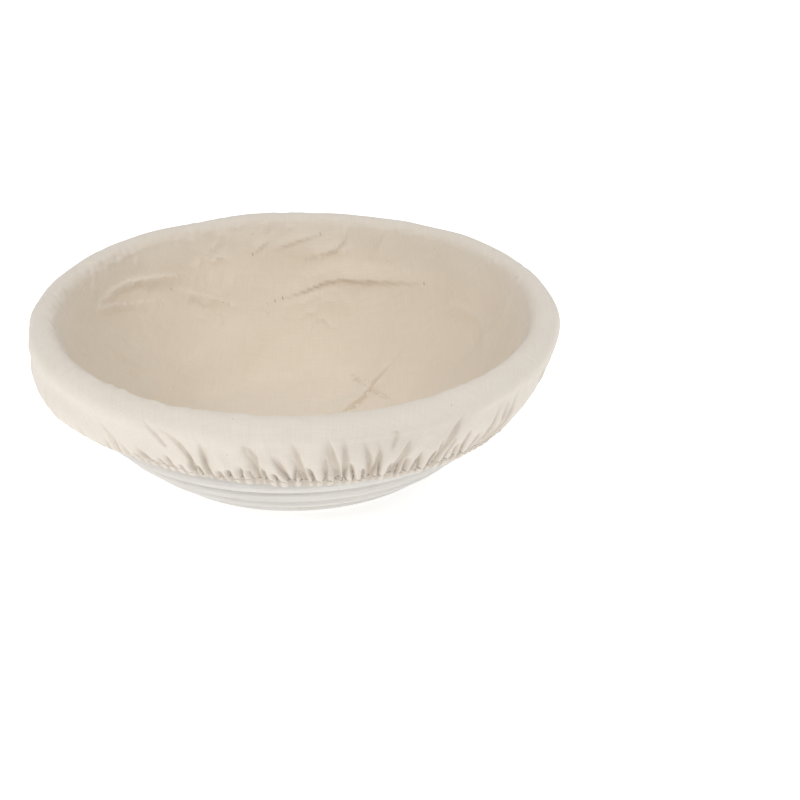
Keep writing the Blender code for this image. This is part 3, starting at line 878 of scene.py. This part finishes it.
def build_bowl(material):
    front = rings((0.0025, 0.0075, 0.0025, 30), (0.0075, 0.012, 0.0020, 60), (0.012, 0.018, 0.0015, 120),
                  (0.018, 0.030, 0.0013, 240), (0.030, 0.060, 0.0012, 480), (0.060, 0.080, 0.0014, COLUMNS),
                  (0.080, S_WALL_TOP, 0.0014, COLUMNS), (S_WALL_TOP, S_SIDE, 0.00105, COLUMNS))
    back = rings((0.005, 0.030, 0.005, 30), (0.030, 0.070, 0.005, 60), (0.070, S_WALL_TOP, 0.004, 120),
                 (S_WALL_TOP, S_SIDE - 0.004, 0.0025, 240), (S_SIDE - 0.004, S_SIDE, 0.003, 480))
    front.append((S_SIDE, COLUMNS))
    back.append((S_SIDE, COLUMNS))
    mesh = cloth_mesh("liner_bowl_cloth", front, back, centre=True)
    mesh.materials.append(material)
    return new_object("liner_bowl_cloth", mesh, "liner", "cotton", "liner_bowl")


def build_skirt(material):
    last = (S_HEM, 2 * COLUMNS)
    front = [(S_SIDE, COLUMNS)] + rings((S_SIDE + 0.0008, S_HEM, 0.00095, 2 * COLUMNS)) + [last]
    back = rings((S_SIDE, S_HEM, 0.0018, COLUMNS)) + [last]
    mesh = cloth_mesh("liner_skirt_cloth", front, back)
    mesh.materials.append(material)
    return new_object("liner_skirt_cloth", mesh, "liner", "cotton", "liner_skirt")


# -------------------- hem
def gather_at_hem(phi):
    """Depth of the gathers along the hem, zero or less."""
    s = np.full_like(phi, S_HEM - 0.0002)
    return gather_height(s, phi, np.full_like(phi, HEM_RADIUS))


CASING_ACROSS = 24                # points across the folded hem
CASING_TURN = (50, -215)          # where its cloth starts and ends round the elastic, in degrees
CASING_SQUARE = 0.75              # below 1, its section is squarer than an ellipse
CASING_DRIFT = 0.00028            # how far it wanders along the wall


def squared(x):
    return math.copysign(abs(x) ** CASING_SQUARE, x)


def casing_pinch(cosine, sine):
    """How much of the tucks' depth the casing takes: most above the elastic and along its lower edge."""
    if cosine <= -0.1:
        return 0.1
    above = 0.45 * math.exp(-((sine - 0.75) / 0.25) ** 2)
    below = 0.35 * math.exp(-((sine + 0.80) / 0.30) ** 2)
    return 0.60 + above + below


def build_casing(material):
    """The folded hem: the skirt's cloth runs on over the elastic and back up behind it."""
    columns, across = 2 * COLUMNS, CASING_ACROSS
    phi = np.arange(columns) * TURN / columns
    dip = np.maximum(gather_at_hem(phi), CASING_DIP)
    around = np.stack([HEM_RADIUS * np.cos(phi), HEM_RADIUS * np.sin(phi), 0 * phi], -1)
    drift = Waves(51, 0.034)(around) * CASING_DRIFT
    plump = 1 + 0.08 * Waves(52, 0.012)(around)
    top = cloth_point(np.full(columns, S_HEM), phi)
    rows = []
    for wall in (0.0, CASING_CLOTH):
        for k, angle in enumerate(np.radians(np.linspace(*CASING_TURN, across))):
            cosine, sine = math.cos(angle), math.sin(angle)
            wide = CASING_WIDE * plump - wall + casing_pinch(cosine, sine) * dip
            arc = hem_arc(phi) + (CASING_HIGH - wall) * squared(sine) + drift
            row = shell(arc, phi, CASING_OUT + wide * squared(cosine))
            # the outer layer starts at the skirt's edge
            joined = float(smooth(k / 2.0)) if wall == 0.0 else 1.0
            rows.append(row * joined + top * (1 - joined))
    total = across * columns
    front = tube_faces(across, columns)[:, [0, 3, 2, 1]]
    back = front[:, ::-1] + total
    faces = front.tolist() + back.tolist()
    last = total - columns
    for k in range(columns):
        n = (k + 1) % columns
        faces.append([k, n, n + total, k + total])
        faces.append([last + n, last + k, last + k + total, last + n + total])
    mesh = new_mesh("hem_casing_cloth", np.concatenate(rows), faces)
    girth = S_HEM + np.arange(across)[:, None] * 0.0006
    weave = np.stack([girth * np.cos(phi), girth * np.sin(phi), 0 * girth * phi], -1).reshape(-1, 3)
    add_vectors(mesh, "weave", np.tile(weave, (2, 1)))
    # painted shade for the tucks that run over the casing
    add_floats(mesh, "tuck_shade", np.tile(np.clip(dip / CASING_DIP, 0, 1), 2 * across))
    mesh.materials.append(material)
    return new_object("hem_casing_cloth", mesh, "liner", "cotton", "hem_casing")


ELASTIC_WIDE = 0.0015             # half its width and half its thickness
ELASTIC_THICK = 0.00035
ELASTIC_INSET = 0.00025           # how much nearer the canes than the casing's middle it lies


def build_elastic(material):
    """The flat elastic in the casing, with the fine ribs of its braid."""
    columns, sides = COLUMNS // 2, 12
    phi = np.arange(columns) * TURN / columns
    turn = np.arange(sides) * TURN / sides
    size = (1 + 0.05 * np.sin(phi * 240))[:, None]
    arc = hem_arc(phi)[:, None] + ELASTIC_WIDE * size * np.sin(turn)
    out = CASING_OUT - ELASTIC_INSET + ELASTIC_THICK * size * np.cos(turn)
    points = shell(arc, phi[:, None], out).reshape(-1, 3)
    mesh = new_mesh("hem_elastic_braid", points, tube_faces(columns, sides, closed=True).tolist())
    run = np.broadcast_to((phi * HEM_RADIUS)[:, None], (columns, sides))
    girth = np.broadcast_to(turn * 0.0012, (columns, sides))
    add_vectors(mesh, "weave", np.stack([run, girth, 0 * run], -1))
    mesh.materials.append(material)
    return new_object("hem_elastic_braid", mesh, "liner", "elastic", "hem_elastic")


STITCH_SHARE = 0.74               # of the pitch, on the cloth's shown side
STITCH_INSET = 0.0011             # how far the row lies from the skirt's edge
STITCH_HIGH = 0.00024             # thread's middle above the cloth, and at its ends
STITCH_LOW = 0.00002


def build_stitches(material):
    """One row of machine stitches that closes the casing, pulled in between the gathers."""
    count, sides, along = int(round(TURN * STITCH_RADIUS / STITCH)), 6, 7
    share = np.linspace(-0.5, 0.5, along)
    phi = (np.arange(count)[:, None] + share * STITCH_SHARE) * TURN / count
    point, normal = cloth_surface(np.full(phi.size, S_HEM - STITCH_INSET), phi.ravel())
    path = point.reshape(count, along, 3)
    up = normal.reshape(count, along, 3)
    path = path + up * np.where(np.abs(share) < 0.34, STITCH_HIGH, STITCH_LOW)[:, None]
    tangent = np.gradient(path, axis=1)
    tangent /= np.linalg.norm(tangent, axis=2)[..., None]
    up = up - tangent * np.sum(up * tangent, 2)[..., None]
    up /= np.linalg.norm(up, axis=2)[..., None]
    side = np.cross(tangent, up)
    radius = (THREAD_RADIUS * np.sqrt(np.clip(1 - (share * 1.9) ** 2, 0.05, 1)))[:, None, None]
    turn = np.arange(sides) * TURN / sides
    ring = up[:, :, None] * np.cos(turn)[:, None] + side[:, :, None] * np.sin(turn)[:, None]
    points = (path[:, :, None] + ring * radius).reshape(-1, 3)
    starts = np.arange(count) * along * sides
    faces = (tube_faces(along, sides) + starts[:, None, None]).reshape(-1, 4).tolist()
    for first in starts:
        last = first + (along - 1) * sides
        faces.append(list(range(first, first + sides))[::-1])
        faces.append(list(range(last, last + sides)))
    mesh = new_mesh("hem_stitches", points, faces)
    run = np.broadcast_to(share[None, :, None] * STITCH, (count, along, sides))
    add_vectors(mesh, "weave", np.stack([run, np.broadcast_to(turn, run.shape), 0 * run], -1))
    mesh.materials.append(material)
    return new_object("hem_stitches", mesh, "liner", "thread", "hem_thread")


# -------------------- build
rattan = rattan_material()
steel = metal_material()
cotton = cotton_material()
build_canes(rattan)
for name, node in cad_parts.items():
    if name.startswith("wire_brad"):
        node.data.materials.clear()
        node.data.materials.append(steel)

bowl = build_bowl(cotton)
skirt = build_skirt(cotton)
casing = build_casing(cotton)
elastic = build_elastic(elastic_material())
stitches = build_stitches(thread_material())


# -------------------- studio
FLOOR_HALF = 6.0                  # half the studio floor's side
WORLD_STRENGTH = 0.45
LIT_POINT = Vector((0, 0, 0.04))


def build_floor():
    """A pale floor that gives some light of its own, so that it renders nearly white."""
    corners = [(x * FLOOR_HALF, y * FLOOR_HALF, 0.0) for x, y in ((-1, -1), (1, -1), (1, 1), (-1, 1))]
    mesh = new_mesh("studio_floor", corners, [[0, 1, 2, 3]])
    n = Nodes("studio_white")
    grain = n.noise(n.add("NewGeometry").outputs["Position"], 4.0)
    n.set(Base_Color=n.mix(grain, rgb(0.70, 0.70, 0.70), rgb(0.73, 0.73, 0.73)))
    n.set(Roughness=0.9, Specular_IOR_Level=0.1)
    n.set(Emission_Color=rgb(1.0, 1.0, 1.0), Emission_Strength=0.60)
    mesh.materials.append(n.material)
    linked("studio_floor", mesh)


def add_area(name, place, size, power):
    """A round soft light that points at the middle of the basket."""
    light = bpy.data.lights.new(name, "AREA")
    light.shape = "DISK"
    light.size = size
    light.energy = power
    obj = linked(name, light)
    obj.location = place
    obj.rotation_euler = (LIT_POINT - Vector(place)).to_track_quat("-Z", "Y").to_euler()


build_floor()
world = bpy.data.worlds.new("studio_world")
bpy.context.scene.world = world
world.use_nodes = True
background = world.node_tree.nodes["Background"]
background.inputs["Color"].default_value = rgb(1.0, 1.0, 1.0)
background.inputs["Strength"].default_value = WORLD_STRENGTH
add_area("key", (-1.1, -1.0, 1.2), size=0.8, power=14.5)
add_area("top", (1.1, 0.0, 1.3), size=0.9, power=10.0)
bpy.context.scene.view_settings.view_transform = "Standard"

# the photo's camera: the basket stands left of the picture's middle
ELEVATION = math.radians(26.4)
TARGET = Vector((0.0516, 0.0, 0.0288))
DISTANCE = 1.10
back_way = Vector((0.0, -math.cos(ELEVATION), math.sin(ELEVATION)))
lens = bpy.data.cameras.new("photo_camera")
lens.sensor_width = 36.0
lens.lens = 99.0
lens.clip_start = 0.01
lens.clip_end = 50.0
camera = linked("photo_camera", lens)
camera.location = TARGET + back_way * DISTANCE
camera.rotation_euler = (-back_way).to_track_quat("-Z", "Y").to_euler()
bpy.context.scene.camera = camera
